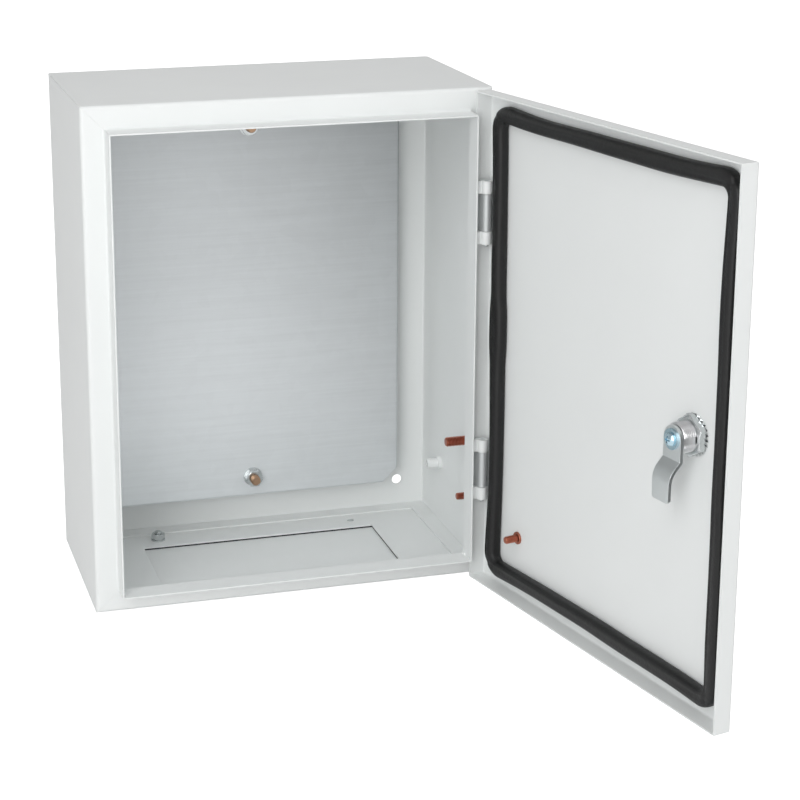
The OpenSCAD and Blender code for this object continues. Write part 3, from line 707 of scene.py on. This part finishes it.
def barrel_nut():
    """Flat nut of the barrel: hexagon with turned corners and a broad chamfer in front."""
    low, high = corners("lock_nut", LOCK)
    across, turned, bore, face = high.x - low.x, 15 * MM, THREAD_BORE, 13.1 * MM
    slope = 1.7
    chamfer = (turned - face) / slope
    levels = [low.z, high.z - chamfer - 0.1 * MM]
    levels += [high.z - chamfer * share for share in (1.0, 0.8, 0.6, 0.4, 0.2, 0.0)]
    around, rings = 144, []
    for z in levels:
        limit = min(turned, face + (high.z - z) * slope)
        rings.append(turned_ring(lambda a: min(hexagon_reach(across, a), limit), z, around))
    rings += [turned_ring(bore, z, around) for z in (high.z, low.z)]
    nut = piece("barrel_nut_turned", *skin(rings, closed=True), "zinc_plate", "door", LOCK, crease=28)
    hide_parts("lock_nut")


def toothed_washer():
    """External-tooth washer: each tooth is twisted out of the ring's plane."""
    low, high = corners("lock_toothed_washer", LOCK)
    outer, inner, rim = high.x, THREAD_BORE, high.x - 3 * MM
    thick = high.z - low.z
    sheet = thick * 0.55
    mid = (low.z + high.z) / 2
    ring = revolved([(inner, mid - sheet / 2), (rim, mid - sheet / 2), (rim, mid + sheet / 2),
                     (inner, mid + sheet / 2)], 80)
    shapes, teeth = [ring], 24
    for i in range(teeth):
        middle = 2 * math.pi * i / teeth
        loops = []
        for share in (0.0, 0.4, 0.7, 1.0):
            r = rim - 0.3 * MM + (outer - rim + 0.25 * MM) * share
            wide = 2 * math.pi * r / teeth * (0.9 - 0.22 * share)
            lean = math.radians(42) * min(1.0, share * 1.8)
            loop = []
            for across, up in ((-0.5, -0.5), (0.5, -0.5), (0.5, 0.5), (-0.5, 0.5)):
                a, b = across * wide, up * sheet * 0.8
                side = a * math.cos(lean) - b * math.sin(lean)
                rise = max(-thick / 2, min(thick / 2, a * math.sin(lean) + b * math.cos(lean)))
                turn = middle + side / r
                loop.append((r * math.cos(turn), r * math.sin(turn), mid + rise))
            loops.append(loop)
        shapes.append(skin(loops))
    washer = piece("toothed_washer_twisted", *merge(*shapes), "zinc_plate", "door", LOCK, crease=25)
    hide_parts("lock_toothed_washer")


# ---------------------------------------------------------------- studio


FLOOR_SHINE = 0.35  # how bright polished metal mirrors the floor


def studio_floor():
    """Plain white sweep under the cabinet."""
    low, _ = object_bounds()
    half = 12  # metres, far past what the camera sees
    mesh = bpy.data.meshes.new("studio_floor")
    square = [(x * half, y * half, low.z) for x, y in ((-1, -1), (1, -1), (1, 1), (-1, 1))]
    mesh.from_pydata(square, [], [(0, 1, 2, 3)])
    floor = bpy.data.objects.new("studio_floor", mesh)
    bpy.context.scene.collection.objects.link(floor)
    paper = Finish("floor_paper", (0.8, 0.8, 0.8), Roughness=0.9, Specular_IOR_Level=0.1)
    path = paper.tree.nodes.new("ShaderNodeLightPath")
    mirrored = maths(paper.tree, "MULTIPLY", path.outputs["Is Glossy Ray"], FLOOR_SHINE)
    glow = maths(paper.tree, "ADD", path.outputs["Is Camera Ray"], mirrored)
    paper.tree.links.new(glow, paper.shader.inputs["Emission Color"])
    paper.shader.inputs["Emission Strength"].default_value = 1.0
    mesh.materials.append(paper.material)
    floor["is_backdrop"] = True


SURROUND = 0.43
SOFT_BOXES = {
    "left_soft_box": ((-1.5, -2.2, 0.4), 1.4, 6.6),
    "left_high_soft_box": ((-1.4, -2.0, 1.6), 1.4, 14.2),
    "near_left_soft_box": ((-0.7, -1.5, 0.25), 0.7, 4.2),
    "front_soft_box": ((0.0, -2.8, 0.4), 1.4, 1.5),
    "right_soft_box": ((1.5, -2.2, 0.6), 1.4, 5.5),
    "overhead_soft_box": ((0.0, -1.2, 2.4), 1.8, 12.3),
}


def soft_box(name, at, aim, size, power):
    """Square area light aimed at a point."""
    lamp = bpy.data.lights.new(name, "AREA")
    lamp.shape = "SQUARE"
    lamp.size = size
    lamp.energy = power
    lit = bpy.data.objects.new(name, lamp)
    bpy.context.scene.collection.objects.link(lit)
    lit.matrix_world = along(at, aim) @ Matrix.Rotation(math.pi, 4, "X")


def studio_cards(tree):
    """Strength of what bright metal mirrors: broad pale and dark cards round the studio."""
    place = tree.nodes.new("ShaderNodeTexCoord")
    parts = tree.nodes.new("ShaderNodeSeparateXYZ")
    tree.links.new(place.outputs["Generated"], parts.inputs["Vector"])
    side, _, up = (parts.outputs[axis] for axis in "XYZ")
    across = maths(tree, "SINE", maths(tree, "MULTIPLY", side, 7.0))
    rise = maths(tree, "SINE", maths(tree, "MULTIPLY_ADD", up, 5.0, 0.6))
    blend = maths(tree, "MULTIPLY_ADD", across, 0.26, maths(tree, "MULTIPLY", rise, 0.22))
    return maths(tree, "MAXIMUM", maths(tree, "ADD", blend, 0.42), 0.03)


def studio_light():
    """Even pale surround, white to the camera, with soft boxes in front."""
    world = bpy.data.worlds.new("studio_surround")
    bpy.context.scene.world = world
    world.use_nodes = True
    tree = world.node_tree
    surround = tree.nodes["Background"]
    cards, backdrop = (tree.nodes.new("ShaderNodeBackground") for _ in range(2))
    for node in (surround, cards, backdrop):
        node.inputs["Color"].default_value = (1, 1, 1, 1)
    surround.inputs["Strength"].default_value = SURROUND
    tree.links.new(studio_cards(tree), cards.inputs["Strength"])
    backdrop.inputs["Strength"].default_value = 1.0
    path = tree.nodes.new("ShaderNodeLightPath")
    shine = tree.nodes.new("ShaderNodeMixShader")
    tree.links.new(path.outputs["Is Glossy Ray"], shine.inputs["Fac"])
    tree.links.new(surround.outputs["Background"], shine.inputs[1])
    tree.links.new(cards.outputs["Background"], shine.inputs[2])
    pick = tree.nodes.new("ShaderNodeMixShader")
    tree.links.new(path.outputs["Is Camera Ray"], pick.inputs["Fac"])
    tree.links.new(shine.outputs["Shader"], pick.inputs[1])
    tree.links.new(backdrop.outputs["Background"], pick.inputs[2])
    tree.links.new(pick.outputs["Shader"], tree.nodes["World Output"].inputs["Surface"])
    for name, (at, size, power) in SOFT_BOXES.items():
        soft_box(name, at, (0, -0.1, 0), size, power)


def camera():
    """Long lens from the front left, a little above."""
    turn, tilt, roll = (math.radians(a) for a in (14.991, -15.285, -0.241))
    aim = Vector((math.sin(turn) * math.cos(tilt), math.cos(turn) * math.cos(tilt), math.sin(tilt)))
    right = Vector((math.cos(turn), -math.sin(turn), 0))
    up = right.cross(aim)
    across = right * math.cos(roll) + up * math.sin(roll)
    above = up * math.cos(roll) - right * math.sin(roll)
    lens = bpy.data.cameras.new("studio_camera")
    lens.lens, lens.sensor_width = 94.0, 36.0
    lens.shift_x, lens.shift_y = 0.1, -0.12
    lens.clip_start, lens.clip_end = 0.05, 60
    eye = bpy.data.objects.new("studio_camera", lens)
    bpy.context.scene.collection.objects.link(eye)
    turned = Matrix((across, above, -aim)).transposed().to_4x4()
    eye.matrix_world = Matrix.Translation((-0.38105, -1.66833, 0.46258)) @ turned
    bpy.context.scene.camera = eye


camera()
finish_solids()
door_seal()
plate_studs()
wall_stud("earth_stud_large", M8_PITCH)
wall_stud("earth_stud_small", M6_PITCH)
door_stud()
gland_screws()
lock_barrel()
barrel_nut()
toothed_washer()
corner_welds()
studio_floor()
studio_light()
bpy.context.scene.view_settings.view_transform = "Standard"
